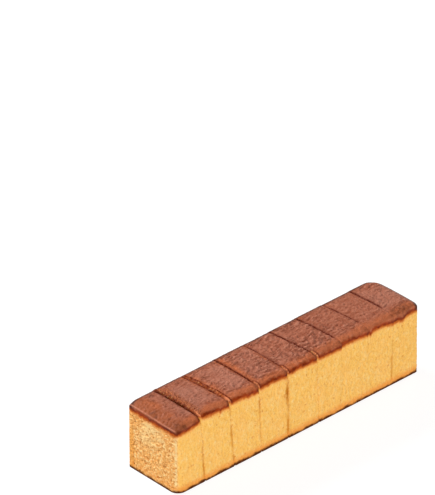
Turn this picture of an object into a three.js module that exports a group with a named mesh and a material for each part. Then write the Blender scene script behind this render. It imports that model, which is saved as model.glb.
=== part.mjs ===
// Castella sponge cake: a long loaf with a brown top crust, cut across into nine slices that
// still stand together. Every slice is one solid and one named mesh.
//
// Millimetres, +Z up. The loaf runs along X, with its near end at -X and its far end at +X.
// Its front long side faces -Y. The origin is at the middle of the base.
import * as THREE from 'three';
import { mergeVertices } from 'three/addons/utils/BufferGeometryUtils.js';

// Driving dimensions.
const LENGTH = 261;
const WIDTH_NEAR = 56; // across the base at the near end
const WIDTH_FAR = 53.2; // the loaf narrows a little towards its far end
// Height of the crust inside its rounded shoulders, at the four corners of the loaf.
const TOP = { nearFront: 63.4, nearBack: 62.2, farFront: 66.5, farBack: 65.3 };
const TOP_DOME = 0.7; // how much higher the middle of the width is

// Each cut across the loaf, as distances from the near end: at the foot of the front side,
// at its top, and at the top of the back side. The knife went in a little askew each time.
const CUTS = [
  { frontFoot: 29.2, frontTop: 24.4, backTop: 23.7 },
  { frontFoot: 60.3, frontTop: 55.3, backTop: 52.5 },
  { frontFoot: 89.4, frontTop: 86.7, backTop: 86.5 },
  { frontFoot: 118.7, frontTop: 117.4, backTop: 117.7 },
  { frontFoot: 151.5, frontTop: 149.3, backTop: 145.5 },
  { frontFoot: 175.4, frontTop: 176.4, backTop: 174.0 },
  { frontFoot: 204.4, frontTop: 205.3, backTop: 203.2 },
  { frontFoot: 231.9, frontTop: 233.1, backTop: 232.6 },
];
const CUT_HEIGHT = 60; // the height at which frontTop and backTop are measured
const FAR_LEAN = 0.7; // how far the far end leans in over that height
const GAP = 0.6; // between two slices
const CUT_WAVE = 0.25; // how far a cut wanders from its plane
// The fourth cut gapes where crumb has torn out of the front side.
const TEAR = { cut: 3, width: 0.9, height: 40, reach: 13, depth: 9 };

// How far the top of each slice stands above or below the loaf's own top.
const SLICE_LIFT = [-1.1, 0.1, -0.1, 0.15, -0.1, 0.1, 0.35, 0, 0.2];

// Rounded shoulders between the top and the sides: how far they reach in, and how far they drop.
const SHOULDER = {
  front: { reach: 2.5, drop: 1.5 }, // a crisp edge...
  frontSlope: { reach: 9, drop: 1.4 }, // ...below a gentle slope
  back: { reach: 5.5, drop: 4.2 },
  near: { reach: 10, drop: 4.6 },
  far: { reach: 8, drop: 2.4 },
  cutEntry: { reach: 1.5, drop: 1.3 }, // the far edge of a slice, dragged down by the knife
  cutExit: { reach: 1.0, drop: 0.8 }, // the near edge of a slice
};
const BASE_RADIUS = 0.5; // along the foot of the sides and ends

// Radius of the four upright corners. The near front one is crushed rounder at its foot.
const CORNER = { nearFront: 4.5, nearBack: 0.8, farFront: 1.2, farBack: 11 };
const FOOT_CRUSH = { extra: 3.5, height: 22 };

const SPONGE = new THREE.MeshStandardMaterial({ color: 0xf4bc66, roughness: 0.92, metalness: 0 });

// Distances in from an edge of the mesh at which it has grid lines.
const EDGE_LINES_CUT = [0, 0.35, 1.0, 1.9];
const EDGE_LINES_SIDE = [0, 0.6, 1.7, 3.4, 6];
const EDGE_LINES_END = [0, 0.6, 1.7, 3.4, 6, 8.6, 12];
const UPRIGHT_LINES = [0, 0.1, 0.32, 0.5, 0.68, 0.86, 1];
const MIDDLE_STEP = 9; // longest grid step between those edge lines

const clamp01 = (t) => Math.min(1, Math.max(0, t));
const lerp = THREE.MathUtils.lerp;

// How far along the loaf X is, from 0 at the near end to 1 at the far end.
const along = (x) => clamp01(x / LENGTH + 0.5);
const halfWidth = (x) => lerp(WIDTH_NEAR, WIDTH_FAR, along(x)) / 2;

// The top of the loaf before its shoulders are rounded off.
function topHeight(x, y) {
  const back = clamp01(y / (2 * halfWidth(x)) + 0.5);
  const plane = lerp(
    lerp(TOP.nearFront, TOP.nearBack, back),
    lerp(TOP.farFront, TOP.farBack, back),
    along(x),
  );
  return plane + TOP_DOME * Math.sin(Math.PI * back);
}

// X on the middle surface of one cut.
function cutX(cut, y, z) {
  const { frontFoot, frontTop, backTop } = CUTS[cut];
  const askewUp = (frontTop - frontFoot) * (z / CUT_HEIGHT);
  const askewBack = (backTop - frontTop) * (y / WIDTH_NEAR + 0.5);
  const wander = CUT_WAVE * Math.sin(0.11 * z + 1.7 * cut) * Math.cos(0.09 * y + 0.8 * cut);
  return -LENGTH / 2 + frontFoot + askewUp + askewBack + wander;
}

// Half the width of one cut's gap, with the tear.
function halfGap(cut, y, z) {
  if (cut !== TEAR.cut) return GAP / 2;
  const up = (z - TEAR.height) / TEAR.reach;
  const inwards = (y + halfWidth(0)) / TEAR.depth;
  return (GAP + TEAR.width * Math.exp(-up * up - inwards * inwards)) / 2;
}

// The two faces that bound slice number `slice` along X.
const nearFaceX = (slice, y, z) =>
  slice === 0 ? -LENGTH / 2 : cutX(slice - 1, y, z) + halfGap(slice - 1, y, z);
const farFaceX = (slice, y, z) =>
  slice === CUTS.length
    ? LENGTH / 2 - FAR_LEAN * (z / CUT_HEIGHT)
    : cutX(slice, y, z) - halfGap(slice, y, z);

// Drop of a rounded shoulder at a distance in from the edge: a quarter of an ellipse.
function ellipseDrop(distance, { reach, drop }) {
  const t = clamp01(1 - distance / reach);
  return drop * (1 - Math.sqrt(1 - t * t));
}
// Drop of a sloping shoulder, which leaves a crisp edge.
function slopeDrop(distance, { reach, drop }) {
  const t = clamp01(1 - distance / reach);
  return drop * t * t;
}

// How far the top of a slice drops near its edges, by the distances in from its four sides.
function topDrop(slice, fromNear, fromFar, fromFront, fromBack) {
  const isFarEnd = slice === CUTS.length;
  const nearDrop =
    slice === 0 ? slopeDrop(fromNear, SHOULDER.near) : ellipseDrop(fromNear, SHOULDER.cutExit);
  const farDrop = (distance) =>
    isFarEnd ? slopeDrop(distance, SHOULDER.far) : ellipseDrop(distance, SHOULDER.cutEntry);
  const backDrop = (distance) => ellipseDrop(distance, SHOULDER.back);
  // The far back corner is rounder than its shoulders, so they follow it round.
  const a = CORNER.farBack - fromFar;
  const b = CORNER.farBack - fromBack;
  if (isFarEnd && a > 0 && b > 0) {
    const inwards = Math.min(fromFar, fromBack);
    return lerp(backDrop(inwards), farDrop(inwards), (a * a) / (a * a + b * b));
  }
  const frontDrop =
    ellipseDrop(fromFront, SHOULDER.front) + slopeDrop(fromFront, SHOULDER.frontSlope);
  const sideDrop = frontDrop + backDrop(fromBack);
  return Math.hypot(nearDrop + farDrop(fromFar), sideDrop);
}

// Moves a point of a square corner onto a round one. `dx` and `dy` are the distances in from
// the two faces, and the result holds the new distances.
function roundCorner(dx, dy, radius) {
  const a = radius - dx;
  const b = radius - dy;
  if (a <= 0 || b <= 0) return [dx, dy];
  const shrink = Math.max(a, b) / Math.hypot(a, b);
  return [radius - a * shrink, radius - b * shrink];
}

// Places one point of a slice. u, v and w run from 0 to 1 along X, Y and Z.
function place(slice, u, v, w) {
  const isNearEnd = slice === 0;
  const isFarEnd = slice === CUTS.length;
  const middleX = (nearFaceX(slice, 0, 0) + farFaceX(slice, 0, 0)) / 2;
  const half = halfWidth(middleX);
  let y = lerp(-half, half, v);
  const roughZ = w * topHeight(middleX, y);
  let x = lerp(nearFaceX(slice, y, roughZ), farFaceX(slice, y, roughZ), u);
  const wide = halfWidth(x);
  y = lerp(-wide, wide, v);

  const fromNear = x - nearFaceX(slice, y, roughZ);
  const fromFar = farFaceX(slice, y, roughZ) - x;
  const fromFront = y + wide;
  const fromBack = wide - y;

  const drop = topDrop(slice, fromNear, fromFar, fromFront, fromBack);
  const upper = topHeight(x, y) + SLICE_LIFT[slice] - drop;

  const outerEdges = [fromFront, fromBack];
  if (isNearEnd) outerEdges.push(fromNear);
  if (isFarEnd) outerEdges.push(fromFar);
  const foot = { reach: BASE_RADIUS, drop: BASE_RADIUS };
  const lower = ellipseDrop(Math.min(...outerEdges), foot);
  const z = lerp(lower, upper, w);

  if (isNearEnd) {
    const crush = clamp01(1 - z / FOOT_CRUSH.height);
    const frontRadius = CORNER.nearFront + FOOT_CRUSH.extra * crush * crush;
    const [fx, fy] = roundCorner(fromNear, fromFront, frontRadius);
    const [bx, by] = roundCorner(fromNear, fromBack, CORNER.nearBack);
    x += fx - fromNear + (bx - fromNear);
    y += fy - fromFront - (by - fromBack);
  }
  if (isFarEnd) {
    const [fx, fy] = roundCorner(fromFar, fromFront, CORNER.farFront);
    const [bx, by] = roundCorner(fromFar, fromBack, CORNER.farBack);
    x -= fx - fromFar + (bx - fromFar);
    y += fy - fromFront - (by - fromBack);
  }
  return [x, y, z];
}

// Grid lines across a span, as shares of it: close together at both edges, even between.
function gridLines(span, edgeLow, edgeHigh) {
  const low = edgeLow.map((d) => d / span);
  const high = edgeHigh.map((d) => 1 - d / span).reverse();
  const from = low[low.length - 1];
  const to = high[0];
  const steps = Math.ceil(((to - from) * span) / MIDDLE_STEP);
  const between = [];
  for (let i = 1; i < steps; i++) between.push(lerp(from, to, i / steps));
  return [...low, ...between, ...high];
}

// One slice: a box whose grid lines are spread by the three lists, then bent into shape.
function sliceGeometry(slice) {
  const isNearEnd = slice === 0;
  const isFarEnd = slice === CUTS.length;
  const span = farFaceX(slice, 0, 0) - nearFaceX(slice, 0, 0);
  const xLines = gridLines(
    span,
    isNearEnd ? EDGE_LINES_END : EDGE_LINES_CUT,
    isFarEnd ? EDGE_LINES_END : EDGE_LINES_CUT,
  );
  const frontLines = isNearEnd ? EDGE_LINES_END : EDGE_LINES_SIDE;
  const backLines = isFarEnd ? EDGE_LINES_END : EDGE_LINES_SIDE;
  const yLines = gridLines(WIDTH_NEAR, frontLines, backLines);
  const lists = [xLines, yLines, UPRIGHT_LINES];
  const box = new THREE.BoxGeometry(1, 1, 1, ...lists.map((list) => list.length - 1));
  box.deleteAttribute('normal');
  box.deleteAttribute('uv');
  const position = box.getAttribute('position');
  for (let i = 0; i < position.count; i++) {
    const shares = [position.getX(i), position.getY(i), position.getZ(i)];
    const [u, v, w] = shares.map((c, axis) => {
      const list = lists[axis];
      return list[Math.round((c + 0.5) * (list.length - 1))];
    });
    position.setXYZ(i, ...place(slice, u, v, w));
  }
  const merged = mergeVertices(box, 1e-4);
  merged.computeVertexNormals();
  return merged;
}

const loaf = new THREE.Group();
for (let slice = 0; slice <= CUTS.length; slice++) {
  const mesh = new THREE.Mesh(sliceGeometry(slice), SPONGE);
  mesh.name = `slice_${slice + 1}`;
  loaf.add(mesh);
}

export default loaf;
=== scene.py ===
"""Looks of a castella sponge cake, cut into nine slices that still stand together.

Shapes are worked out in millimetres, in the frame of the CAD model: the loaf runs along X,
its front side faces -Y, and the origin is at the middle of its base. The floor, the lights
and the camera are placed in metres.
"""

import math
from itertools import product
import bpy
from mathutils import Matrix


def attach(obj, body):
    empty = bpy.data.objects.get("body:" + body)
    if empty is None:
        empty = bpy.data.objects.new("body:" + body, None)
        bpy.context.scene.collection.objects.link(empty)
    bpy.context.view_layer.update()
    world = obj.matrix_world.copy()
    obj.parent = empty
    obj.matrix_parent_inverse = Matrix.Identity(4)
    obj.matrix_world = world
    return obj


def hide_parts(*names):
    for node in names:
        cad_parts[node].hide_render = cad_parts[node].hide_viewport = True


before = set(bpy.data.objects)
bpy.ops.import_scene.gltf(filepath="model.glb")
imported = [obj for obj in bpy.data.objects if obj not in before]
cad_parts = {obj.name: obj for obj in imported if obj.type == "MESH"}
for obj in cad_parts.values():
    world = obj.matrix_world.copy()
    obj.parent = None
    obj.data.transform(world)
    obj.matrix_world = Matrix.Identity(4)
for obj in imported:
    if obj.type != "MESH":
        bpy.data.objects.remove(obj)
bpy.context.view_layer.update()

from types import SimpleNamespace

import bpy
import numpy as np
from mathutils import Matrix, Vector
from mathutils.geometry import delaunay_2d_cdt

MM = 0.001

# -------------------------------- driving dimensions
LENGTH = 261
WIDTH_NEAR = 56
WIDTH_FAR = 53.2
TOP_NEAR_FRONT, TOP_NEAR_BACK, TOP_FAR_FRONT, TOP_FAR_BACK = 63.4, 62.2, 66.5, 65.3
TOP_DOME = 0.7  # how much higher the top is along its middle
CUT_HEIGHT = 60  # where the places of the cuts at the top are given
FAR_LEAN = 0.7  # how far the far end leans in at that height
CUT_WAVE = 0.25  # how far a cut wanders off its plane
WAVE_UP, WAVE_BACK = 0.11, 0.09  # radians of that wave for each millimetre
INNER_GAP = 0.6  # between two slices, away from their lips
LEAST_GAP = 0.02
LIP_DEPTH_TOP, LIP_DEPTH_SIDE = 3.5, 2.2  # how far in a cut keeps the width of its mouth
SIDE_FOOT, SIDE_TOP = 20, 42  # a side counts as its foot up to here, and as its top from here

# Slices and cuts are counted from 0, so that slice k lies between cuts k - 1 and k.
# For each cut, in millimetres:
# at: distances from the near end at the foot of the front side, its top, and the top of the
#     back side
# mouth: width along the top, at the front, in the middle and at the back
# side: width down the front and back sides, at their top and at their foot
# warm: how strongly painted shade from it colours those sides beside it, from 0 to 1, at their top
# and foot
# strip: width of the crumb it bares on the crust behind it
# reach: how far in from the front that strip goes
# rim: how dark a line of painted shade ends the strip, from 0 to 1
# dark: how wide a line of painted shade it leaves along the crust
# fade: how far in from the front the cut is closed up and can hardly be seen
# dip: how deep the knife pressed its lips down at the front
NO_STRIP = dict(strip=0.0, reach=1, rim=0.0)
CUTS = [
    dict(at=(29.2, 24.4, 23.7), mouth=(0.3, 0.9, 0.55), side=(0.02, 0.03), warm=(0.0, 1.0),
         strip=1.6, reach=60, rim=0.0, dark=1.5, fade=0, dip=1.8),
    dict(at=(60.3, 55.3, 52.5), mouth=(0.8, 1.0, 1.0), side=(0.02, 0.02), warm=(0.9, 0.8),
         strip=2.3, reach=60, rim=1.0, dark=1.0, fade=0, dip=1.8),
    dict(at=(89.4, 86.7, 86.5), mouth=(0.4, 0.3, 0.45), side=(0.03, 0.02), warm=(1.0, 0.4),
         strip=1.6, reach=9, rim=0.8, dark=1.1, fade=0, dip=2.2),
    dict(at=(118.7, 117.4, 117.7), mouth=(0.4, 0.3, 0.3), side=(0.03, 0.03), warm=(1.0, 1.0),
         strip=1.7, reach=10.5, rim=0.8, dark=0.95, fade=0, dip=2.2),
    dict(at=(151.5, 149.3, 145.5), mouth=(0.3, 0.2, 0.25), side=(0.02, 0.02), warm=(0.2, 0.1),
         strip=1.7, reach=9, rim=0.8, dark=0.85, fade=0, dip=1.8),
    dict(at=(175.4, 176.4, 174.0), mouth=(0.2, 0.2, 0.25), side=(0.02, 0.02), warm=(0.1, 0.4),
         dark=0.85, fade=9, dip=0.8, **NO_STRIP),
    dict(at=(204.4, 205.3, 203.2), mouth=(0.1, 0.25, 0.3), side=(0.02, 0.02), warm=(0.15, 0.15),
         dark=0.85, fade=12, dip=0.6, **NO_STRIP),
    dict(at=(231.9, 233.1, 232.6), mouth=(0.04, 0.2, 0.25), side=(0.02, 0.03), warm=(0.1, 0.7),
         dark=1.0, fade=14, dip=0.4, **NO_STRIP),
]
SLICES = len(CUTS) + 1
LAST = SLICES - 1
DIP_REACH = 14  # how far in from the front a dip goes
FAR_LIP_DIP = 0.4  # share of the dip that the lip before a cut takes
FAR_LIP_DIP_REACH = 1.2  # how far back from the cut it takes it
CLOSED_LIP = 0.25  # share of its drop that a lip keeps where the cut is closed up
THIN_LINE = 0.7  # how wide a line of painted shade the cuts leave near the front

# The cut whose front is torn open: how much wider, how high up, how far up and down from there,
# and how far in. Clods are torn out beside it, a little lower and before the cut.
TORN_CUT = 3
TEAR = dict(width=0.6, height=45, reach=9, depth=9)
CLODS = dict(lower=3, before=1, half_width=2.4, half_height=4.5)

SLICE_LIFT = [-1.1, 0.1, -0.1, 0.15, -0.1, 0.1, 0.35, 0, 0.2]  # of each slice's top
FIRST_BACK_LIFT = 0.9  # how much more the first slice is lifted at its back than at its front
BACK_LIFT_FROM, BACK_LIFT_TO = 15, 50  # where that lift begins and is full, from the front

# How far in the top's rims and lips are rounded, and how far they drop.
SHOULDER_FRONT = (2.5, 1.5)
SLOPE_FRONT = (9, 1.4)  # the gentle slope above that shoulder
SHOULDER_BACK = (5.5, 4.2)
SHOULDER_NEAR = (10, 4.6)
SHOULDER_NEAR_AT_BACK = 0.8  # the share of that drop at the back
SHOULDER_FAR = (8, 2.4)
CORNER_SAG = (5, 1.6)  # at the front corner of the last slice
LIP_BEFORE_CUT = (1.5, 1.3)
LIP_BEHIND_CUT = 0.7  # its least width
LIP_BEHIND_DROP, LIP_BEHIND_STEEPNESS = 0.45, 0.28  # its drop, and what its width adds to it

BASE_RADIUS = 0.5
CORNER_NEAR_FRONT, CORNER_NEAR_BACK, CORNER_FAR_FRONT, CORNER_FAR_BACK = 4.5, 0.8, 1.2, 11
FOOT_CRUSH_EXTRA, FOOT_CRUSH_HEIGHT = 3.5, 22  # the near front corner is rounder by its foot

# Height of the crust's lower edge on the front side of each slice: where the slice starts, in
# its middle and where it ends.
CRUST_EDGE = [
    (55.2, 55.8, 57.8),
    (60.4, 59.4, 58.2),
    (59.8, 59.5, 57.8),
    (59.4, 60.4, 58.8),
    (59.7, 60.3, 59.2),
    (59.8, 59.8, 58.6),
    (60.4, 60.3, 58.6),
    (59.4, 60.2, 57.4),
    (57.8, 59.0, 58.8),
]
CRUST_EDGE_NEAR_END = 53.8
CRUST_EDGE_FAR_END = 60.5
CRUST_EDGE_BACK = 58.2
CRUST_EDGE_BACK_RISE = 1.6  # how much higher it is at the far end
CRUST_THICKNESS = 1.7
NOTCH = 2.4  # how much higher the edge is right behind a cut that bares a strip
NOTCH_REACH = 1.7
# Places where the crust hangs down further on the front: how far from the near end, how wide
# and how far down.
FLAPS = [(45.5, 0.8, 1.3), (75, 1.6, 1.0), (208.3, 1.1, 2.2), (243, 3.6, 2.6)]

# How strongly each slice's crust is wrinkled, and how much of it has a painted mauve sheen.
WRINKLES = [0.3, 0.65, 0.8, 1.15, 1.4, 1.3, 0.95, 0.5, 1.0]
MAUVE_SHEEN = [0.75, 0.8, 1.0, 0.5, 0.35, 0.35, 0.2, 0.25, 0.7]
RUBBED = (1, 2, 3)  # slices whose crust the knife rubbed orange beside the cuts
# The burnt smear on the last slice: its middle, from the near end and from the front, and how
# far it spreads from there.
SMEAR = dict(along=245, inwards=3, half_length=11, half_width=6)
END_RELIEF = {0: 1.0, LAST: 0.55}  # how strong the coarse relief of the ends is, by slice

SHARP_EDGE = 55  # degrees between two faces from which their edge isn't smoothed
# Spacing of the mesh: on what shows, on the two ends, and on the underside.
FINE = 0.5
END_FINE = 0.36
COARSE = 2.0
# Distances in from an edge at which the mesh has closer lines.
LIP_LINES = [0, 0.12, 0.3, 0.55, 0.85, 1.2, 1.6, 2.0, 2.5, 3.0]
EDGE_LINES = [0, 0.2, 0.5, 0.9, 1.4, 1.9]
BASE_LINES = [0, 0.15, 0.35, 0.6, 1.0]
CAP_SIZE = (WIDTH_NEAR, TOP_NEAR_FRONT)  # on which the faces at a slice's ends are laid out
# Faces hidden in a cut: rings of points this far in, and a coarse grid inside them.
HIDDEN_RINGS = (0.4, 0.9, 1.6, 2.6, 4.0)
HIDDEN_MARGIN = 7
HIDDEN_SPACING = 4


# -------------------------------- repeatable noise
# Each pattern is given a seed, which could be any number.
def lattice(ix, iy, iz, seed):
    """One number from 0 to 1 for each whole-numbered point, the same at every run."""
    h = (ix * 374761393 + iy * 668265263 + iz * 1440662683 + seed * 974634777) & 0xFFFFFFFF
    h = ((h ^ (h >> 13)) * 1274126177) & 0xFFFFFFFF
    return ((h ^ (h >> 16)) & 0xFFFFFF) / 0xFFFFFF


# Noise is laid out askew, so that its rows don't show along the faces of the loaf.
TURNS = [Matrix.Rotation(angle, 3, axis) for angle, axis in ((0.7, "X"), (0.9, "Y"), (0.5, "Z"))]
ASKEW = np.array(TURNS[0] @ TURNS[1] @ TURNS[2])


def noise(points, size, seed):
    """Smooth noise from -1 to 1 whose bumps are about `size` mm across."""
    p = (points / np.asarray(size, float)) @ ASKEW
    cell = np.floor(p).astype(np.int64)
    f = p - cell
    f = f * f * f * (f * (f * 6 - 15) + 10)
    total = np.zeros(len(p))
    for corner in product((0, 1), repeat=3):
        near_x, near_y, near_z = np.where(corner, f, 1 - f).T
        total += near_x * near_y * near_z * lattice(*(cell + corner).T, seed)
    return total * 2 - 1


def rough(points, size, seed, octaves=3):
    """Noise with finer noise added to it."""
    size = np.asarray(size, float)
    total = sum(noise(points, size / 2**k, seed + k) / 2**k for k in range(octaves))
    return total / (2 - 2.0 ** (1 - octaves))


def pores(points, size, radius, share, seed):
    """Depth, from 0 to 1, of round pores: one in `share` of the cells `size` mm across."""
    cell = np.floor(points / size).astype(np.int64)
    depth = np.zeros(len(points))
    for step in product((-1, 0, 1), repeat=3):
        c = cell + step
        jitter = [lattice(*c.T, seed + k) for k in range(5)]
        centre = (c + np.stack(jitter[:3], 1)) * size
        r = radius * (0.45 + 0.75 * jitter[3])
        near = ((points - centre) ** 2).sum(1) / r**2
        hole = np.sqrt(np.clip(1 - near, 0, 1)) * (jitter[4] < share)
        depth = np.maximum(depth, hole)
    return depth


def smooth(low, high, x):
    """0 up to low, 1 from high on, smooth between."""
    t = np.clip((x - low) / (high - low), 0, 1)
    return t * t * (3 - 2 * t)


def mix(a, b, t):
    return a + (b - a) * t


# -------------------------------- shape of the loaf
def along(x):
    return np.clip(x / LENGTH + 0.5, 0, 1)


def half_width(x):
    return mix(WIDTH_NEAR, WIDTH_FAR, along(x)) / 2


def top_height(x, y):
    back = np.clip(y / (2 * half_width(x)) + 0.5, 0, 1)
    near = mix(TOP_NEAR_FRONT, TOP_NEAR_BACK, back)
    far = mix(TOP_FAR_FRONT, TOP_FAR_BACK, back)
    return mix(near, far, along(x)) + TOP_DOME * np.sin(np.pi * back)


def cut_x(cut, y, z):
    foot, top, back = CUTS[cut]["at"]
    askew_up = (top - foot) * (z / CUT_HEIGHT)
    askew_back = (back - top) * (y / WIDTH_NEAR + 0.5)
    wander = CUT_WAVE * np.sin(WAVE_UP * z + 1.7 * cut) * np.cos(WAVE_BACK * y + 0.8 * cut)
    return -LENGTH / 2 + foot + askew_up + askew_back + wander


def down_side(pair, z):
    """Goes from the first of a pair of values at the top of a side to the second at its foot."""
    return mix(pair[1], pair[0], smooth(SIDE_FOOT, SIDE_TOP, z))


def cut_points(cut, y, z):
    """Where the noise along a cut is read: the same for both its lips, far from other cuts'."""
    return np.stack([np.full_like(y, 40.0 * cut), y, z], 1)


def half_gap(cut, y, z):
    """Half the width of a cut's gap: its mouths are mostly narrower than its inside."""
    x = cut_x(cut, y, z)
    back = np.clip(y / WIDTH_NEAR + 0.5, 0, 1)
    seam = cut_points(cut, y, z)
    ragged = 1 + 0.45 * rough(seam, 2.4, 60 + cut) + 0.35 * noise(seam, 8, 70 + cut)
    front, middle, rear = CUTS[cut]["mouth"]
    front_half = mix(front, middle, smooth(0.18, 0.36, back))
    back_half = mix(middle, rear, smooth(0.5, 0.95, back))
    top_mouth = np.where(back < 0.5, front_half, back_half)
    side_mouth = down_side(CUTS[cut]["side"], z)
    if cut == TORN_CUT:
        up = (z - TEAR["height"]) / TEAR["reach"]
        inwards = (y + half_width(x)) / TEAR["depth"]
        side_mouth = side_mouth + TEAR["width"] * np.exp(-up * up - inwards * inwards)
    from_top = top_height(x, y) - z
    from_side = half_width(x) - np.abs(y)
    near_top = np.exp(-((from_top / LIP_DEPTH_TOP) ** 2))
    near_side = np.exp(-((from_side / LIP_DEPTH_SIDE) ** 2))
    gap = mix(INNER_GAP, side_mouth * ragged, near_side)
    gap = mix(gap, top_mouth * ragged, near_top * (1 - 0.6 * near_side))
    return np.maximum(gap, LEAST_GAP) / 2


def near_face_x(k, y, z):
    if k == 0:
        return np.full_like(y, -LENGTH / 2)
    return cut_x(k - 1, y, z) + half_gap(k - 1, y, z)


def far_face_x(k, y, z):
    if k == LAST:
        return LENGTH / 2 - FAR_LEAN * (z / CUT_HEIGHT)
    return cut_x(k, y, z) - half_gap(k, y, z)


def ellipse_drop(distance, reach, drop):
    """How far a quarter-round edge lies below its face, at a distance in from the rim."""
    t = np.clip(1 - distance / reach, 0, 1)
    return drop * (1 - np.sqrt(1 - t * t))


def slope_drop(distance, reach, drop):
    """The same for an edge that slopes down, steepest at its rim."""
    t = np.clip(1 - distance / reach, 0, 1)
    return drop * t * t


def beside_cuts(k, inset):
    """The cuts beside slice k, each with the inset from it."""
    if k > 0:
        yield k - 1, inset.near
    if k < LAST:
        yield k, inset.far


def strip_share(cut, from_front):
    """How much of its full width a cut's bared strip has, by the distance from the front."""
    reach = CUTS[cut]["reach"]
    return 1 - smooth(0.7 * reach, reach, from_front)


def dip(cut, from_front):
    """How far a cut's lips are pressed down, most at the front."""
    return CUTS[cut]["dip"] * np.clip(1 - from_front / DIP_REACH, 0, 1)


def near_lip_drop(k, inset, y):
    """The lip behind a cut: its crust is dragged off, which leaves a low strip of crumb."""
    seam = cut_points(k, y, np.zeros_like(y))
    ragged = 1 + (0.35 if k == 1 else 0.15) * rough(seam, 3, 80 + k)
    widest = max(LIP_BEHIND_CUT, CUTS[k - 1]["strip"])
    width = mix(LIP_BEHIND_CUT, widest, strip_share(k - 1, inset.front)) * ragged
    drop = LIP_BEHIND_DROP + LIP_BEHIND_STEEPNESS * width + dip(k - 1, inset.front)
    return slope_drop(inset.near, width, drop)


def open_share(cut, from_front):
    """Less than 1 where a cut closes up towards the front."""
    fade = CUTS[cut]["fade"]
    return mix(CLOSED_LIP, 1, smooth(fade - 3, fade + 2, from_front)) if fade else 1.0


def far_lip_drop(k, inset):
    """The lip before a cut."""
    reach, drop = LIP_BEFORE_CUT
    rounded = ellipse_drop(inset.far, reach, drop * open_share(k, inset.front))
    pressed = FAR_LIP_DIP * dip(k, inset.front)
    return rounded + slope_drop(inset.far, FAR_LIP_DIP_REACH, pressed)


def last_corners_drop(drop, inset):
    """The drop of the last slice's top, turned round its back corner and more at its front."""
    a = CORNER_FAR_BACK - inset.far
    b = CORNER_FAR_BACK - inset.back
    inwards = np.minimum(inset.far, inset.back)
    share = a * a / np.maximum(a * a + b * b, 1e-9)
    rounded = ellipse_drop(inwards, *SHOULDER_BACK)
    turned = mix(rounded, slope_drop(inwards, *SHOULDER_FAR), share)
    drop = np.where((a > 0) & (b > 0), turned, drop)
    return drop + slope_drop(np.hypot(inset.far, inset.front), *CORNER_SAG)


def top_drop(k, inset, y):
    """How far the top is rounded off at the loaf's rims and at its cuts."""
    if k == 0:
        near = slope_drop(inset.near, *SHOULDER_NEAR)
        near = near * mix(1, SHOULDER_NEAR_AT_BACK, smooth(30, 56, inset.front))
    else:
        near = near_lip_drop(k, inset, y)
    if k == LAST:
        far = slope_drop(inset.far, *SHOULDER_FAR)
    else:
        far = far_lip_drop(k, inset)
    front = ellipse_drop(inset.front, *SHOULDER_FRONT)
    front = front + slope_drop(inset.front, *SLOPE_FRONT)
    side = front + ellipse_drop(inset.back, *SHOULDER_BACK)
    drop = np.hypot(near + far, side)
    return last_corners_drop(drop, inset) if k == LAST else drop


def round_corner(dx, dy, radius):
    """Distances in from two faces, moved from a square corner onto a round one."""
    a = radius - dx
    b = radius - dy
    inside = (a > 0) & (b > 0)
    shrink = np.maximum(a, b) / np.maximum(np.hypot(a, b), 1e-9)
    return np.where(inside, radius - a * shrink, dx), np.where(inside, radius - b * shrink, dy)


def round_end(x, y, inset, inwards, sign, front_radius, back_radius):
    """Moves points by one end of the loaf, `inwards` from it, onto its round upright corners.
    `sign` is the way in along X."""
    front_x, front_y = round_corner(inwards, inset.front, front_radius)
    back_x, back_y = round_corner(inwards, inset.back, back_radius)
    x = x + sign * (front_x - inwards + back_x - inwards)
    y = y + (front_y - inset.front) - (back_y - inset.back)
    return x, y


def place(k, u, v, w):
    """Points of slice k, and their inset: how far in they lie from each of its faces. u, v and
    w run from 0 to 1 along X, Y and Z."""
    zero = np.zeros_like(v)
    middle_x = (near_face_x(k, zero, zero) + far_face_x(k, zero, zero)) / 2
    half = half_width(middle_x)
    y = mix(-half, half, v)
    rough_z = w * top_height(middle_x, y)
    # The width depends on x, and x on y, so both are worked out again.
    x = mix(near_face_x(k, y, rough_z), far_face_x(k, y, rough_z), u)
    wide = half_width(x)
    y = mix(-wide, wide, v)
    near_x = near_face_x(k, y, rough_z)
    far_x = far_face_x(k, y, rough_z)
    x = mix(near_x, far_x, u)
    inset = SimpleNamespace(near=x - near_x, far=far_x - x, front=y + wide, back=wide - y)

    upper = top_height(x, y) + SLICE_LIFT[k] - top_drop(k, inset, y)
    outer = np.minimum(inset.front, inset.back)
    if k == 0:
        upper = upper + FIRST_BACK_LIFT * smooth(BACK_LIFT_FROM, BACK_LIFT_TO, inset.front)
        outer = np.minimum(outer, inset.near)
    if k == LAST:
        outer = np.minimum(outer, inset.far)
    z = mix(ellipse_drop(outer, BASE_RADIUS, BASE_RADIUS), upper, w)
    inset.top = upper - z

    if k == 0:
        crush = np.clip(1 - z / FOOT_CRUSH_HEIGHT, 0, 1)
        radius = CORNER_NEAR_FRONT + FOOT_CRUSH_EXTRA * crush * crush
        x, y = round_end(x, y, inset, inset.near, 1, radius, CORNER_NEAR_BACK)
    if k == LAST:
        x, y = round_end(x, y, inset, inset.far, -1, CORNER_FAR_FRONT, CORNER_FAR_BACK)
    return np.stack([x, y, z], 1), inset


# -------------------------------- mesh of a slice
def lines(span, edge_low, edge_high, step):
    """Shares of a span at which the mesh has lines: as listed at both ends, even between."""
    low = np.array(edge_low) / span
    high = 1 - np.array(edge_high)[::-1] / span
    count = max(1, math.ceil((high[0] - low[-1]) * span / step))
    between = low[-1] + (high[0] - low[-1]) * np.arange(1, count) / count
    return np.concatenate([low, between, high])


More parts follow.
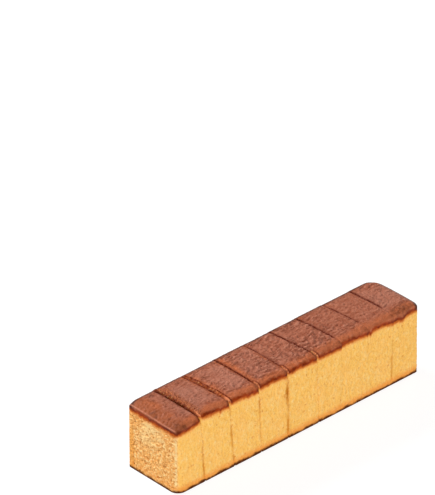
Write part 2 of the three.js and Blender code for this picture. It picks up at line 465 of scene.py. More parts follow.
def slice_grid(k):
    """The closed loop of (v, w) round a slice, and its u lines."""
    zero = np.zeros(1)
    span = float(far_face_x(k, zero, zero)[0] - near_face_x(k, zero, zero)[0])
    near_lines = EDGE_LINES if k == 0 else LIP_LINES
    far_lines = EDGE_LINES if k == LAST else LIP_LINES
    u = lines(span, near_lines, far_lines, FINE)
    up = lines(TOP_NEAR_FRONT, BASE_LINES, EDGE_LINES, FINE)
    across = lines(WIDTH_NEAR, EDGE_LINES, EDGE_LINES, FINE)
    under = lines(WIDTH_NEAR, BASE_LINES, BASE_LINES, COARSE)
    front = [(0, w) for w in up[:-1]]
    top = [(v, 1) for v in across[:-1]]
    back = [(1, w) for w in up[:0:-1]]
    base = [(v, 0) for v in under[:0:-1]]
    return u, np.array(front + top + back + base, float)


def cap_points(dense):
    """Points inside an end of a slice: an even grid where it shows, rings and a coarse grid
    where it is hidden in a cut."""
    if dense:
        v, w = (np.arange(1, int(size / END_FINE)) * END_FINE / size for size in CAP_SIZE)
        return np.array([(a, b) for b in w for a in v])
    found = []
    for margin in HIDDEN_RINGS:
        step = max(0.7, margin * 0.8)
        v, w = (
            np.linspace(margin / size, 1 - margin / size, int((size - 2 * margin) / step))
            for size in CAP_SIZE
        )
        found += [(a, b) for a in v for b in (w[0], w[-1])]
        found += [(a, b) for a in (v[0], v[-1]) for b in w[1:-1]]
    v, w = (
        np.arange(HIDDEN_MARGIN, size - HIDDEN_MARGIN + 1, HIDDEN_SPACING) / size
        for size in CAP_SIZE
    )
    found += [(a, b) for a in v for b in w]
    return np.array(found)


def cap_faces(loop, inside):
    """Triangles over the loop and the points inside it, seen from -X."""
    points = [Vector(p) for p in np.concatenate([loop, inside]) * CAP_SIZE]
    edges = [(i, (i + 1) % len(loop)) for i in range(len(loop))]
    out = delaunay_2d_cdt(points, edges, [], 0, 1e-5, True)
    origin = [o[0] for o in out[3]]
    faces = []
    for a, b, c in out[2]:
        pa, pb, pc = out[0][a], out[0][b], out[0][c]
        turn = (pb - pa).cross(pc - pa)
        faces.append([origin[i] for i in ((a, b, c) if turn < 0 else (a, c, b))])
    return faces


def slice_mesh(k):
    """Vertices of slice k before any relief, its faces, and the vertices' inset."""
    u_lines, loop = slice_grid(k)
    n = len(loop)
    rows = len(u_lines)
    near_inside = cap_points(k == 0)
    far_inside = cap_points(k == LAST)
    u = [np.repeat(u_lines, n), np.zeros(len(near_inside)), np.ones(len(far_inside))]
    v, w = np.concatenate([np.tile(loop, (rows, 1)), near_inside, far_inside]).T
    points, inset = place(k, np.concatenate(u), v, w)

    i = np.arange(rows - 1)[:, None] * n
    j = np.arange(n)[None, :]
    j_next = (j + 1) % n
    quads = np.stack([i + j, i + n + j, i + n + j_next, i + j_next], -1).reshape(-1, 4)
    faces = quads.tolist()
    near_start = rows * n
    far_start = near_start + len(near_inside)
    last_row = (rows - 1) * n
    for a, b, c in cap_faces(loop, near_inside):
        faces.append([t if t < n else t - n + near_start for t in (a, b, c)])
    for a, b, c in cap_faces(loop, far_inside):
        faces.append([t + last_row if t < n else t - n + far_start for t in (c, b, a)])
    return points, faces, inset


def vertex_normals(points, faces):
    fans = [(f[0], f[i], f[i + 1]) for f in faces for i in range(1, len(f) - 1)]
    triangles = np.array(fans)
    a, b, c = (points[triangles[:, i]] for i in range(3))
    cross = np.cross(b - a, c - a)
    normals = np.zeros_like(points)
    for i in range(3):
        np.add.at(normals, triangles[:, i], cross)
    return normals / np.maximum(np.linalg.norm(normals, axis=1), 1e-12)[:, None]


# -------------------------------- crust, crumb and relief
def crust_height(k, points, inset):
    """Millimetres that a point lies above the crust's lower edge; below it is sponge."""
    x, y, z = points.T
    start, middle, end = CRUST_EDGE[k]
    t = inset.near / np.maximum(inset.near + inset.far, 1e-6)
    front_edge = start * (1 - t) * (1 - 2 * t) + middle * 4 * t * (1 - t) + end * t * (2 * t - 1)
    ragged = 0.8 * rough(points, (1.9, 1.9, 3), 5) + 0.35 * noise(points, (9, 9, 30), 9)
    front_edge = front_edge + ragged
    for place_x, width, drop in FLAPS:
        front_edge = front_edge - drop * np.exp(-(((x + LENGTH / 2 - place_x) / width) ** 2))
    if k > 0:
        notch = NOTCH * min(1, CUTS[k - 1]["strip"])
        front_edge = front_edge + notch * np.exp(-((inset.near / NOTCH_REACH) ** 2))
    back_edge = CRUST_EDGE_BACK + CRUST_EDGE_BACK_RISE * along(x) + ragged
    side_edge = np.where(y < 0, front_edge, back_edge)
    inward = np.minimum(inset.front, inset.back)
    for end_slice, from_end, end_edge in (
        (0, inset.near, CRUST_EDGE_NEAR_END + 1.2 * ragged),
        (LAST, inset.far, CRUST_EDGE_FAR_END + ragged),
    ):
        if k == end_slice:
            side_edge = mix(side_edge, end_edge, smooth(-3, 3, inward - from_end))
            inward = np.minimum(inward, from_end)
    within = 3 * (CRUST_THICKNESS + 0.4 * ragged - inset.top)
    return mix(z - side_edge, within, smooth(0.8, 5, inward))


def past_strip(k, points, inset):
    """How many millimetres a point lies beyond the strip that the knife bared behind the cut
    before it; less than nothing on the strip itself."""
    if k == 0:
        return np.full(len(points), 9.0)
    ragged = 0.4 if k == 1 else 0.15
    uneven = 1 + ragged * rough(points, (1.5, 2.2, 4), 33)
    width = CUTS[k - 1]["strip"] * strip_share(k - 1, inset.front) * uneven
    return np.where(width < 0.15, 9.0, inset.near - width)


def crease(values, width):
    """1 along the lines where smooth noise crosses zero, falling to 0 at `width` from them."""
    return 1 - smooth(0, width, np.abs(values))


def side_relief(points):
    """Depth of the trimmed sides, painted shade in their pores and streaks, and painted highlights
    on their raised grain: fine upright grain, a few pores.
    """
    fine = pores(points, 1.9, 0.75, 0.5, 11)
    sparse = pores(points, 4.6, 0.95, 0.5, 21)
    swell = noise(points, 11, 31)
    streak = rough(points, (1.6, 1.6, 3.6), 35, 2)
    grain = noise(points, 1.3, 37)
    depth = 0.2 * fine + 0.35 * sparse + 0.15 * swell + 0.24 * streak + 0.35 * grain
    hollow = np.maximum(0.35 * fine, 0.9 * sparse) + 0.2 * smooth(0, 0.8, streak)
    pale = 0.35 * smooth(0, 0.8, -streak) + 0.3 * smooth(0.1, 0.8, -grain)
    return depth, hollow, pale


def end_relief(points):
    """Depth of the ends, painted shade in their pores and grooves, and painted highlights on their
    raised lumps: coarse crumb, torn open by the knife.
    """
    bent = points + 0.8 * np.stack([noise(points, 4, s) for s in (52, 53, 54)], 1)
    lumps = noise(bent, (1.35, 1.5, 1.2), 55)
    wide_lumps = noise(points, 3.2, 56)
    grooves = crease(noise(bent, (1.5, 1.8, 1.4), 57), 0.24)
    dots = pores(points, 2.4, 1.0, 0.6, 41)
    wide_pores = pores(points, 5.0, 1.2, 0.35, 51)
    grit = noise(points, 0.9, 58)
    depth = 0.75 * lumps + 0.4 * wide_lumps + 0.4 * grooves + 0.35 * dots + 0.35 * wide_pores
    depth = depth + 0.2 * grit
    hollow = 0.65 * np.maximum(dots, wide_pores) + 1.15 * grooves * smooth(-0.3, 0.5, lumps)
    pale = 0.8 * smooth(0.05, 0.6, -lumps) * (1 - grooves)
    return depth, hollow, pale


def crust_relief(k, points):
    """Depth of the crust, painted shade in its creases, grain and pits, and painted glints on its
    raised folds and grain: leathery folds along the loaf, fine grain and pits."""
    strength = WRINKLES[k]
    warped = points + 1.0 * np.stack([noise(points, 5, s) for s in (61, 62, 63)], 1)
    folds = noise(warped, (2.8, 1.3, 3), 65)
    patch = mix(0.4, 0.9, smooth(-0.5, 0.4, noise(points, 9, 64)))
    grain = noise(points, (1.5, 1.2, 1.3), 67)
    swell = noise(points, 13, 68)
    pits = pores(points, 5.0, 0.9, 0.4, 69)
    depth = strength * patch * (0.85 * folds + 0.25 * crease(folds, 0.3))
    depth = depth + 0.42 * grain + 0.3 * swell + 0.35 * pits * strength
    hollow = strength * patch * (0.5 * crease(folds + 0.2, 0.28) + 0.25 * smooth(0, 0.8, folds))
    hollow = hollow + 0.8 * pits * strength + mix(0.15, 0.35, strength) * smooth(0.0, 0.8, grain)
    pale = strength * patch * smooth(0.25, 0.8, -folds) + 0.4 * smooth(0.45, 0.9, -grain)
    return depth, hollow, pale


def relief_direction(k, normals, inset):
    """The way in from the surface. By a cut it has no part along the loaf, so that relief
    neither opens nor closes the cut."""
    direction = -normals
    by_cut = np.zeros(len(normals), bool)
    if k > 0:
        by_cut |= inset.near < 1
    if k < LAST:
        by_cut |= inset.far < 1
    direction[by_cut, 0] = 0
    length = np.linalg.norm(direction, axis=1)
    return direction / np.maximum(length, 0.2)[:, None]


def silhouette_edge(k, inset):
    """Distance in from the nearest rim that shows against the background from the front."""
    edge = inset.back
    if k == LAST:
        edge = np.minimum(edge, inset.far)
    return edge


def crumbs(points, inset):
    """Crumbs that the first cut left standing on its far lip, from the back to near the front:
    how high they stand, and which of them are burnt."""
    lip = 1 - smooth(1.6, 3.2, inset.near)
    stretch = smooth(10, 20, inset.front) * smooth(1, 4, inset.back)
    lumps = pores(points * (1, 1, 0.4), 1.7, 0.95, 0.75, 131) * lip * stretch
    return lumps, noise(points, 2.2, 135) > -0.15


def torn_crumb(k, points, inset):
    """Where clods of crumb are torn out of the front beside the torn cut."""
    if k not in (TORN_CUT, TORN_CUT + 1):
        return np.zeros(len(points))
    x, y, z = points.T
    beside = (x - cut_x(TORN_CUT, y, z) + CLODS["before"]) / CLODS["half_width"]
    up = (z - TEAR["height"] + CLODS["lower"]) / CLODS["half_height"]
    return np.exp(-beside * beside - up * up) * (inset.front < 1)


def relief(k, points, inset, inwards, masks):
    """How far each point lies below the even surface, how much painted shade it gets in pores,
    creases and hollows (with the dark charred crumbs on the first lip), and how much painted
    highlight or paler crumb it gets. Relief is low along the rims that show as outlines, which
    stay straight."""
    sponge = 1 - masks.crust
    foot = smooth(0.5, 5, points[:, 2])
    rim = mix(0.12, 1, smooth(1.5, 7, silhouette_edge(k, inset)))
    corner = smooth(0, 3, np.minimum(inset.front, inset.back))
    from_cut = np.minimum(inset.near, inset.far)
    lip = mix(0.5, 1, smooth(0, 1.5, from_cut))
    even = mix(0.5, 1, smooth(0, 2.5, from_cut)) * mix(0.5, 1, smooth(3, 12, inset.front))
    side = smooth(0.5, 0.8, np.abs(inwards[:, 1])) * sponge
    end = smooth(0.5, 0.8, np.abs(inwards[:, 0])) * sponge * END_RELIEF.get(k, 0)
    top = smooth(0.0, 0.4, -inwards[:, 2]) * masks.crust * even
    under = smooth(0.8, 1.0, inwards[:, 2]) * sponge
    depth, hollow, pale = np.zeros((3, len(points)))
    for share, evened, form in (
        (side, foot * lip, side_relief(points)),
        (end, foot * mix(0.25, 1, corner), end_relief(points)),
        (top, rim, crust_relief(k, points)),
    ):
        depth += share * evened * form[0]
        hollow += share * form[1]
        pale += share * form[2]
    depth += under * 0.15 * (1 + rough(points, 5, 161))
    crumbly = rough(points, 1.1, 71)
    depth += masks.crust * speckled(k, points, inset) * 0.25 * crumbly
    depth += masks.strip * 0.3 * (crumbly + 1)
    hollow += masks.strip * smooth(-0.1, 0.6, crumbly)
    torn = torn_crumb(k, points, inset)
    clods = rough(points, 1.8, 151)
    depth += torn * 0.9 * (clods + 0.3)
    hollow += torn * 1.5 * smooth(-0.1, 0.4, clods)
    pale += torn * smooth(0.1, 0.5, -clods)
    if k == 1:
        lumps, black = crumbs(points, inset)
        depth -= 0.9 * lumps
        hollow += lumps * black * 2.0
        pale += lumps * ~black
    return depth, np.clip(hollow, 0, 1), np.clip(pale, 0, 1)


def crust_tone(k, points, inset):
    """-1 where the crust is more orange, 1 where a mauve sheen is painted on it, 0 for plain
    brown.
    """
    inward = np.minimum(inset.front, inset.back)
    orange_edges = [inset.front]
    if k == 0:
        inward = np.minimum(inward, inset.near * 0.8)
        orange_edges.append(0.6 * inset.near)
    elif k in RUBBED:
        orange_edges += [inset.near + 2, inset.far * 2.5 + 2]
    else:
        orange_edges.append(np.hypot(inset.near, inset.back - 3) + 3)
    from_orange = np.minimum.reduce(orange_edges)
    patches = rough(points, (13, 13, 30), 91)
    middle = smooth(4, 15, inward + 4 * patches)
    if k in RUBBED:
        middle = middle * smooth(1, 9, inset.near + 3 * patches)
    mauve = MAUVE_SHEEN[k] * middle * (0.75 + 0.8 * patches)
    # Painted sheen along the back shoulder.
    back_sheen = 0.5 * (1 - smooth(4, 9, inset.back))
    orange = (1 - smooth(2, 12, from_orange + 3.5 * patches)) * (0.85 if k < 5 else 0.7)
    return np.maximum(mauve, back_sheen) * (1 - orange) - orange


def burnt(k, points, inset):
    """How dark the crust is: painted shade along its back and far rims and on the near shoulder;
    darker at the front corner before a cut and at the last slice's front corner; baked darker by
    the near front corner of the first slice, a little over the first two slices, and in a smear
    over the front shoulder of the last one."""
    ragged = rough(points, 4, 95)
    edge = inset.back
    if k == LAST:
        edge = np.minimum(edge, inset.far + 2.8)
    # Painted shade along the back rim, and along the far rim of the last slice.
    dark = 0.3 * (1 - smooth(4, 8, edge)) + 0.65 * (1 - smooth(3.0, 4.8, edge))
    dark *= mix(1, 0.3, smooth(1, 3, inset.top))
    # Darker at the front corner before a cut.
    if k < LAST:
        corner = (1 - smooth(0.5, 4, inset.far)) * (1 - smooth(1.5, 6, inset.front))
        dark = np.maximum(dark, mix(0.55, 0.15, k / SLICES) * corner)
    if k == 0:
        # The shoulder term is painted shade on the near shoulder; the near front corner and the
        # ragged patches are baked darker.
        shoulder_shade = 1 - smooth(3, 12, inset.near + 3 * ragged)
        near_front = 1 - smooth(3, 14, np.hypot(inset.near * 0.6, inset.front))
        baked = 0.05 + 0.3 * shoulder_shade + 0.2 * near_front + 0.4 * smooth(-0.1, 0.7, ragged)
        dark = np.maximum(dark, baked * (inset.top < 2))
    if k == 1:
        dark = np.maximum(dark, 0.08)
    if k == LAST:
        along_smear = (points[:, 0] + LENGTH / 2 - SMEAR["along"]) / SMEAR["half_length"]
        across_smear = (inset.front - SMEAR["inwards"]) / SMEAR["half_width"]
        smear = np.hypot(along_smear, across_smear) + 0.5 * ragged
        specks = smooth(-0.2, 0.6, rough(points, 1.3, 96))
        dark = np.maximum(dark, mix(0.2, 0.6, specks) * (1 - smooth(0.6, 1.3, smear)))
        at_corner = np.hypot(inset.front - 1, inset.far) + ragged
        dark = np.maximum(dark, 0.9 * (1 - smooth(1.5, 5, at_corner)))
    return dark


def seam(k, points, inset):
    """How strongly painted shade from a cut darkens the surface beside it: in a dark line along
    the top, and in a broken one down the sides."""
    ragged = 1 + 0.5 * rough(points, 2.5, 97)
    broken = smooth(-0.8, 0.2, noise(points, (30, 30, 8), 98)) * (1 - smooth(50, 56, points[:, 2]))
    beaded = mix(0.6, 1, smooth(-0.5, 0.2, rough(points, (3, 2, 3), 99)))
    on_top = inset.top < 5
    dark = np.zeros(len(points))
    for cut, distance in beside_cuts(k, inset):
        above = open_share(cut, inset.front) * beaded
        wide = mix(THIN_LINE, CUTS[cut]["dark"], smooth(9, 15, inset.front))
        if 0 < cut == k - 1 and CUTS[cut]["reach"] < WIDTH_NEAR:
            wide = mix(wide, THIN_LINE, strip_share(cut, inset.front))
        beside = down_side(CUTS[cut]["warm"], points[:, 2]) * broken
        if cut == TORN_CUT:
            up = (points[:, 2] - TEAR["height"]) / TEAR["reach"]
            beside = np.maximum(beside, np.exp(-up * up))
        strength = np.where(on_top, above, beside)
        reach = np.where(on_top, wide, 1.5 if cut == TORN_CUT else 1.0) * ragged
        dark = np.maximum(dark, strength * np.exp(-((distance / reach) ** 2)))
    outside = np.minimum(inset.front, inset.back)
    outside = np.minimum(outside / 1.5, inset.top / 4)
    return np.clip(dark, 0, 1) * np.exp(-(outside**2))


def strip_edge_shade(k, past):
    """The line of painted shade along the far edge of a bared strip."""
    if k == 0:
        return np.zeros(len(past))
    return CUTS[k - 1]["rim"] * smooth(-0.3, 0.1, past) * (1 - smooth(0.7, 1.7, past))


def speckled(k, points, inset):
    """Where the knife left loose specks of crust and crumb: behind the first cut."""
    if k != 1:
        return np.zeros(len(points))
    return 1 - smooth(3.5, 9, inset.near + 3 * rough(points, 6, 141))


def near_end_pale_and_highlight(points, inset):
    """Paler crumb on the near end in patches up on it, and a painted highlight down along its
    front corner.
    """
    z = points[:, 2]
    on_end = inset.near < 0.4
    patches = 0.8 * smooth(-0.15, 0.5, rough(points, 9, 111)) * smooth(18, 44, z)
    wander = rough(points, 4, 113)
    strip = smooth(0, 1, inset.front) * (1 - smooth(2.8, 4.4, inset.front + wander))
    strip = strip * smooth(4, 9, z) * (0.8 + 0.6 * rough(points, 3, 112))
    return np.clip(np.maximum(patches, strip), 0, 1) * on_end


def near_end_ochre(points, inset):
    """Duller crumb on the near end, low down along its back corner."""
    band = 1 - smooth(5, 7.5, inset.back + rough(points, 5, 114))
    return band * (1 - smooth(32, 42, points[:, 2])) * (inset.near < 0.4)


def rim_glint(points, inset):
    """A painted highlight on the crisp rim where the crust turns down over the near end, brighter
    in places.
    """
    wander = 0.3 + 0.25 * rough(points, 4, 121)
    across = np.hypot((inset.near - wander) / 0.4, inset.top / 0.5)
    broken = smooth(-0.5, 0.4, rough(points, 5, 122))
    return np.exp(-across * across) * smooth(1, 4, inset.front) * mix(0.6, 1, broken)


def add_object(name, data):
    made = bpy.data.objects.new(name, data)
    bpy.context.scene.collection.objects.link(made)
    return made


def make_slice(k, material):
    points, faces, inset = slice_mesh(k)
    normals = vertex_normals(points, faces)
    height = crust_height(k, points, inset)
    past = past_strip(k, points, inset)
    masks = SimpleNamespace(crust=smooth(-0.3, 0.5, height), strip=1 - smooth(-0.4, 0.2, past))
    inwards = relief_direction(k, normals, inset)
    depth, hollow, pale = relief(k, points, inset, inwards, masks)
    moved = points + inwards * depth[:, None]
    moved[:, 2] = np.maximum(moved[:, 2], 0)
    light, ochre, glint = np.zeros((3, len(points)))
    if k == 0:
        # Paler crumb and a painted highlight on the near end, and a painted highlight on its rim.
        light = near_end_pale_and_highlight(points, inset) * (1 - hollow)
        ochre = near_end_ochre(points, inset)
        glint = rim_glint(points, inset)

    mesh = bpy.data.meshes.new(f"cake_slice_{k + 1}")
    mesh.from_pydata((moved * MM).tolist(), [], faces)
    mesh.polygons.foreach_set("use_smooth", np.ones(len(faces), bool))
    mesh.set_sharp_from_angle(angle=math.radians(SHARP_EDGE))
    looks = dict(
        crust_height=height,
        hollow=hollow,
        pale=np.maximum(pale, light),
        past_strip=past,
        rim=strip_edge_shade(k, past),
        speckled=speckled(k, points, inset),
        from_front=inset.front,
        tone=crust_tone(k, points, inset),
        burnt=burnt(k, points, inset),
        seam=seam(k, points, inset),
        on_end=smooth(0.5, 0.8, np.abs(normals[:, 0])) * (k in END_RELIEF),
        ochre=ochre,
        glint=glint,
    )
    for name, values in looks.items():
        attribute = mesh.attributes.new(name, "FLOAT", "POINT")
        attribute.data.foreach_set("value", values.astype(np.float32))
    mesh.materials.append(material)
    piece = add_object(f"cake_slice_{k + 1}", mesh)
    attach(piece, "root")
    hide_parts(f"slice_{k + 1}")


# -------------------------------- materials
def feed(tree, node, inputs):
    """Links or sets inputs of a shader node."""
    for name, value in inputs.items():
        socket = node.inputs[name]
        if isinstance(value, bpy.types.NodeSocket):
            tree.links.new(value, socket)
        else:
            socket.default_value = value


def add_node(tree, kind, inputs, **settings):
    """A new shader node with its settings and inputs."""
    made = tree.nodes.new(kind)
    for name, value in settings.items():
        setattr(made, name, value)
    feed(tree, made, inputs)
    return made


class Shader:
    """A material, with short forms of the nodes that it is made of."""

    def __init__(self, name):
        self.material = bpy.data.materials.new(name)
        self.material.use_nodes = True
        self.tree = self.material.node_tree
        self.surface = self.tree.nodes["Principled BSDF"]
        coordinates = add_node(self.tree, "ShaderNodeTexCoord", {})
        self.where = coordinates.outputs["Object"]

    def value(self, name):
        """One of the looks that make_slice keeps on the mesh."""
        made = add_node(self.tree, "ShaderNodeAttribute", {}, attribute_name=name)
        return made.outputs["Fac"]

    def noise(self, size, detail, stretch=(1, 1, 1), roughness=0.5):
        """Noise from 0 to 1 whose bumps are about `size` mm across."""
        scale = [1 / (size * MM * s) for s in stretch]
        mapping = add_node(self.tree, "ShaderNodeMapping", {"Vector": self.where, "Scale": scale})
        inputs = {
            "Vector": mapping.outputs["Vector"],
            "Scale": 1.0,
            "Detail": detail,
            "Roughness": roughness,
        }
        made = add_node(self.tree, "ShaderNodeTexNoise", inputs)
        return made.outputs["Fac"]

    def ramp(self, value, low, high):
        """0 at `low`, 1 at `high`, smooth between."""
        inputs = {"Value": value, "From Min": low, "From Max": high}
        made = add_node(self.tree, "ShaderNodeMapRange", inputs, interpolation_type="SMOOTHSTEP")
        return made.outputs["Result"]

    def math(self, operation, a, b):
        made = add_node(self.tree, "ShaderNodeMath", {0: a, 1: b}, operation=operation)
        return made.outputs["Value"]

    def mix(self, share, a, b):
        """Colour a, which goes over to colour b as share goes from 0 to 1."""
        inputs = {"Factor": share, 6: a, 7: b}
        made = add_node(self.tree, "ShaderNodeMix", inputs, data_type="RGBA")
        return made.outputs[2]

    def tint(self, colour, share, strength, over):
        """A colour that goes over to another by a share times a strength."""
        return self.mix(self.math("MULTIPLY", share, strength), colour, over)

    def bump(self, height, distance, strength, under=None):
        """Bumps up to `distance` mm high, over others or none."""
        inputs = {"Height": height, "Distance": distance * MM, "Strength": strength}
        if under is not None:
            inputs["Normal"] = under
        return add_node(self.tree, "ShaderNodeBump", inputs).outputs["Normal"]

    def height_above_base(self):
        split = add_node(self.tree, "ShaderNodeSeparateXYZ", {"Vector": self.where})
        return self.math("DIVIDE", split.outputs["Z"], MM)


def linear(red, green, blue):
    """A solid colour given as it looks on screen, from 0 to 255."""
    def channel(c):
        c /= 255
        return c / 12.92 if c <= 0.04045 else ((c + 0.055) / 1.055) ** 2.4
    return channel(red), channel(green), channel(blue), 1


def palette(**colours):
    """Named colours, each given as it looks on screen."""
    return SimpleNamespace(**{name: linear(*colour) for name, colour in colours.items()})


SPONGE = palette(
    dull=(246, 184, 88),
    bright=(255, 203, 106),
    patch=(253, 194, 101),
    pale=(255, 230, 168),
    pore=(208, 126, 56),
    seam=(206, 124, 24),
    honey=(247, 167, 90),
    foot=(242, 154, 68),
    base=(82, 38, 8),
    base_pale=(144, 80, 34),
    end=(251, 187, 116),
    end_speck=(222, 144, 76),
    end_ochre=(240, 170, 84),
    end_pore=(200, 128, 62),
)
CRUST = palette(
    dark=(161, 91, 66),
    light=(187, 116, 89),
    mauve=(187, 122, 99),
    orange=(205, 114, 71),
    blotch=(146, 70, 42),
    grain=(120, 58, 38),
    speck_pale=(222, 134, 74),
    speck_dark=(108, 42, 16),
    pale=(218, 152, 126),
    hollow=(106, 44, 26),
    band=(160, 58, 8),
    band_dark=(122, 38, 2),
    burnt=(72, 30, 14),
    glint=(214, 138, 108),
    seam=(96, 26, 4),
    fringe=(200, 102, 38),
)
BARED = palette(
    dark=(152, 66, 26),
    light=(202, 106, 52),
    front=(250, 152, 102),
    hollow=(108, 44, 18),
    pale=(250, 190, 122),
    rim=(112, 38, 12),
)


def sponge_colour(s, crumb, crust_height):
    """Yellow crumb with painted shade in its pores and painted highlights on its raised grain,
    painted shade beside the cuts, honey-coloured by the crust and by the base, which is baked dark
    brown."""
    on_end = s.value("on_end")
    colour = s.mix(s.ramp(crumb, 0.3, 0.7), SPONGE.dull, SPONGE.bright)
    colour = s.mix(s.ramp(s.noise(14, 2), 0.35, 0.7), colour, SPONGE.patch)
    colour = s.tint(colour, on_end, 0.65, SPONGE.end)
    specks = s.math("MULTIPLY", s.ramp(s.noise(0.7, 2), 0.52, 0.7), on_end)
    colour = s.tint(colour, specks, 0.5, SPONGE.end_speck)
    # Painted highlights on raised crumb, and paler crumb in patches on the near end.
    colour = s.tint(colour, s.value("pale"), 0.75, SPONGE.pale)
    colour = s.tint(colour, s.value("ochre"), 0.8, SPONGE.end_ochre)
    pore = s.mix(on_end, SPONGE.pore, SPONGE.end_pore)
    # Painted shade in pores and hollows.
    colour = s.tint(colour, s.value("hollow"), 0.75, pore)
    # Painted shade beside the cuts.
    colour = s.tint(colour, s.value("seam"), 0.9, SPONGE.seam)
    colour = s.tint(colour, s.ramp(crust_height, -4.2, -0.6), 0.7, SPONGE.honey)

    above_base = s.height_above_base()
    foot = s.ramp(s.math("ADD", above_base, s.math("MULTIPLY", crumb, 2.0)), 10.5, 4.0)
    fainter_on_end = s.ramp(on_end, 2.2, -0.6)
    colour = s.tint(colour, foot, fainter_on_end, SPONGE.foot)
    along_foot = s.math("MULTIPLY", s.math("SUBTRACT", s.noise(7, 3), 0.5), 5.0)
    uneven = s.math("ADD", s.math("MULTIPLY", crumb, 0.8), along_foot)
    base_edge = s.ramp(s.math("ADD", above_base, uneven), 4.2, 1.7)
    mottled = s.ramp(s.noise(6, 5), 0.3, 0.72)
    underside = s.ramp(above_base, 0.6, 0.3)
    base = s.tint(SPONGE.base, mottled, underside, SPONGE.base_pale)
    return s.mix(base_edge, colour, base)


def crust_colour(s, mottle, grain, edge):
    """Brown, with a painted mauve sheen or orange in places, and a dark band just above its lower
    edge.
    """
    tone = s.value("tone")
    colour = s.mix(s.ramp(mottle, 0.36, 0.64), CRUST.dark, CRUST.light)
    # Painted mauve sheen.
    colour = s.mix(s.ramp(tone, 0.0, 1.0), colour, CRUST.mauve)
    colour = s.mix(s.ramp(tone, 0.0, -1.0), colour, CRUST.orange)
    blotches = s.math("MULTIPLY", s.ramp(s.noise(3.0, 3), 0.5, 0.68), s.ramp(tone, 0.2, -0.8))
    colour = s.tint(colour, blotches, 0.18, CRUST.blotch)
    # Darker where the fine grain's bump dips: painted shade in its dents.
    colour = s.tint(colour, s.ramp(grain, 0.6, 0.3), 0.3, CRUST.grain)
    loose = s.value("speckled")
    specks = s.noise(0.8, 2)
    colour = s.tint(colour, loose, s.ramp(specks, 0.56, 0.66), CRUST.speck_pale)
    colour = s.tint(colour, loose, s.ramp(specks, 0.47, 0.39), CRUST.speck_dark)
    # Painted glints on raised folds and grain, then painted shade in creases and pits.
    colour = s.tint(colour, s.value("pale"), 0.35, CRUST.pale)
    colour = s.tint(colour, s.value("hollow"), 0.5, CRUST.hollow)
    band = s.mix(s.ramp(s.noise(5, 2), 0.35, 0.65), CRUST.band, CRUST.band_dark)
    colour = s.mix(s.ramp(edge, 4.8, 2.0), colour, band)
    # Baked darker in places, and painted shade along the back and far rims and on the near
    # shoulder.
    colour = s.mix(s.value("burnt"), colour, CRUST.burnt)
    # Painted highlight along the near rim.
    colour = s.tint(colour, s.value("glint"), 0.7, CRUST.glint)
    # Painted shade beside the cuts.
    return s.tint(colour, s.value("seam"), 0.95, CRUST.seam)


def bared_colour(s, crumb):
    """Crumb in the strips where the knife took the crust off, palest near the front."""
    colour = s.mix(s.ramp(crumb, 0.35, 0.65), BARED.dark, BARED.light)
    colour = s.tint(colour, s.ramp(s.value("from_front"), 9.5, 5.0), 0.75, BARED.front)
    # Painted shade in hollows of the crumb, then painted highlights on raised crumb.
    colour = s.tint(colour, s.value("hollow"), 0.8, BARED.hollow)
    colour = s.tint(colour, s.value("pale"), 0.85, BARED.pale)
    # Painted shade beside the cut.
    return s.tint(colour, s.value("seam"), 0.95, CRUST.seam)


def castella_material():
    """Sponge under a crust, which bared strips cross. Some of those end in a line of painted
    shade.
    """
    s = Shader("castella")
    crust_height = s.value("crust_height")
    crumb = s.noise(0.8, 3, (1, 1, 1.5))
    mottle = s.noise(3.5, 4, (1.3, 0.8, 1), 0.6)
    grain = s.noise(0.7, 2)
    edge = s.math("ADD", crust_height, s.math("MULTIPLY", s.math("SUBTRACT", mottle, 0.5), 2.4))

    colour = sponge_colour(s, crumb, crust_height)
    colour = s.mix(s.ramp(edge, -2.4, 0.3), colour, CRUST.fringe)
    is_crust = s.ramp(edge, -0.2, 1.6)
    colour = s.mix(is_crust, colour, crust_colour(s, mottle, grain, edge))
    above_fringe = s.ramp(edge, -0.5, 1.5)
    on_strip = s.ramp(s.value("past_strip"), 0.2, -0.3)
    colour = s.tint(colour, on_strip, above_fringe, bared_colour(s, crumb))
    # Painted shade along the far edge of a bared strip.
    colour = s.tint(colour, s.value("rim"), above_fringe, BARED.rim)

    gloss = {"Value": is_crust, "To Min": 0.9, "To Max": 0.5}
    roughness = add_node(s.tree, "ShaderNodeMapRange", gloss)
    crumb_bump = s.bump(s.noise(0.6, 3), 0.35, 0.6)
    feed(s.tree, s.surface, {
        "Base Color": colour,
        "Specular IOR Level": 0.07,
        "Roughness": roughness.outputs["Result"],
        "Normal": s.bump(grain, 0.15, 0.5, crumb_bump),
    })
    return s.material


def floor_material():
    s = Shader("studio_floor")
    feed(s.tree, s.surface, {
        "Base Color": s.mix(s.noise(300, 2), (0.2, 0.2, 0.2, 1), (0.22, 0.22, 0.22, 1)),
        "Roughness": 0.9,
        "Emission Color": (1, 1, 1, 1),
        "Emission Strength": 0.85,
    })
    return s.material


# -------------------------------- the scene
FLOOR_HALF = 3.0
FLOOR_DROP = 0.2 * MM  # keeps it clear of the underside


def make_floor():
    signs = ((-1, -1), (1, -1), (1, 1), (-1, 1))
    corners = [(a * FLOOR_HALF, b * FLOOR_HALF, 0) for a, b in signs]
    mesh = bpy.data.meshes.new("floor")
    mesh.from_pydata(corners, [], [(0, 1, 2, 3)])
    mesh.materials.append(floor_material())
    floor = add_object("floor", mesh)
    floor.location.z = -FLOOR_DROP


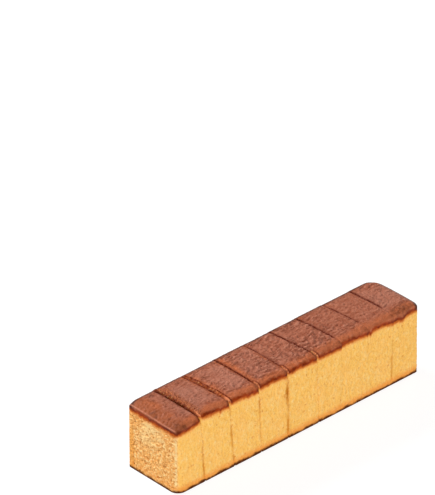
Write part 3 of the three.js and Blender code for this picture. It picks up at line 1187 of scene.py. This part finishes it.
def towards(azimuth, elevation):
    """The way from the loaf to a place round it. Azimuth 0 is in front of it, at -Y."""
    a, e = math.radians(azimuth), math.radians(elevation)
    return Vector((math.sin(a) * math.cos(e), -math.cos(a) * math.cos(e), math.sin(e)))


def make_light(name, azimuth, elevation, distance, size, power):
    """A soft square light that faces the loaf."""
    data = bpy.data.lights.new(name, "AREA")
    data.shape = "SQUARE"
    data.size = size
    data.energy = power
    light = add_object(name, data)
    way = towards(azimuth, elevation)
    light.location = way * distance
    light.rotation_mode = "QUATERNION"
    light.rotation_quaternion = way.to_track_quat("Z", "Y")


def make_world(strength):
    world = bpy.data.worlds.new("studio")
    world.use_nodes = True
    background = world.node_tree.nodes["Background"]
    feed(world.node_tree, background, {"Color": (1, 1, 1, 1), "Strength": strength})
    bpy.context.scene.world = world


CAMERA_AZIMUTH = -42.63
CAMERA_ELEVATION = 31.75
CAMERA_DISTANCE = 5.0
CAMERA_LENS = 460.9
# Where the camera aims, in the picture's own directions from a point inside the loaf: the
# loaf stands low and to the right in the picture.
AIM_HEIGHT = 30 * MM
AIM_LEFT = 45.91 * MM
AIM_UP = 110.28 * MM


def make_camera():
    back = towards(CAMERA_AZIMUTH, CAMERA_ELEVATION)
    turn = math.radians(CAMERA_AZIMUTH)
    right = Vector((math.cos(turn), math.sin(turn), 0))
    up = back.cross(right)
    aim = Vector((0, 0, AIM_HEIGHT)) - right * AIM_LEFT + up * AIM_UP
    data = bpy.data.cameras.new("camera")
    data.lens = CAMERA_LENS
    data.clip_end = 100
    camera = add_object("camera", data)
    facing = Matrix((right, up, back)).transposed().to_4x4()
    camera.matrix_world = Matrix.Translation(aim + back * CAMERA_DISTANCE) @ facing
    bpy.context.scene.camera = camera


make_camera()
castella = castella_material()
for number in range(SLICES):
    make_slice(number, castella)
make_floor()
make_world(strength=0.1)
make_light("back", azimuth=-165, elevation=35, distance=1.6, size=0.7, power=26)
make_light("fill", azimuth=-30, elevation=40, distance=4.0, size=2.0, power=100)
make_light("far end", azimuth=105, elevation=12, distance=3.0, size=1.5, power=18)
bpy.context.scene.view_settings.view_transform = "Standard"
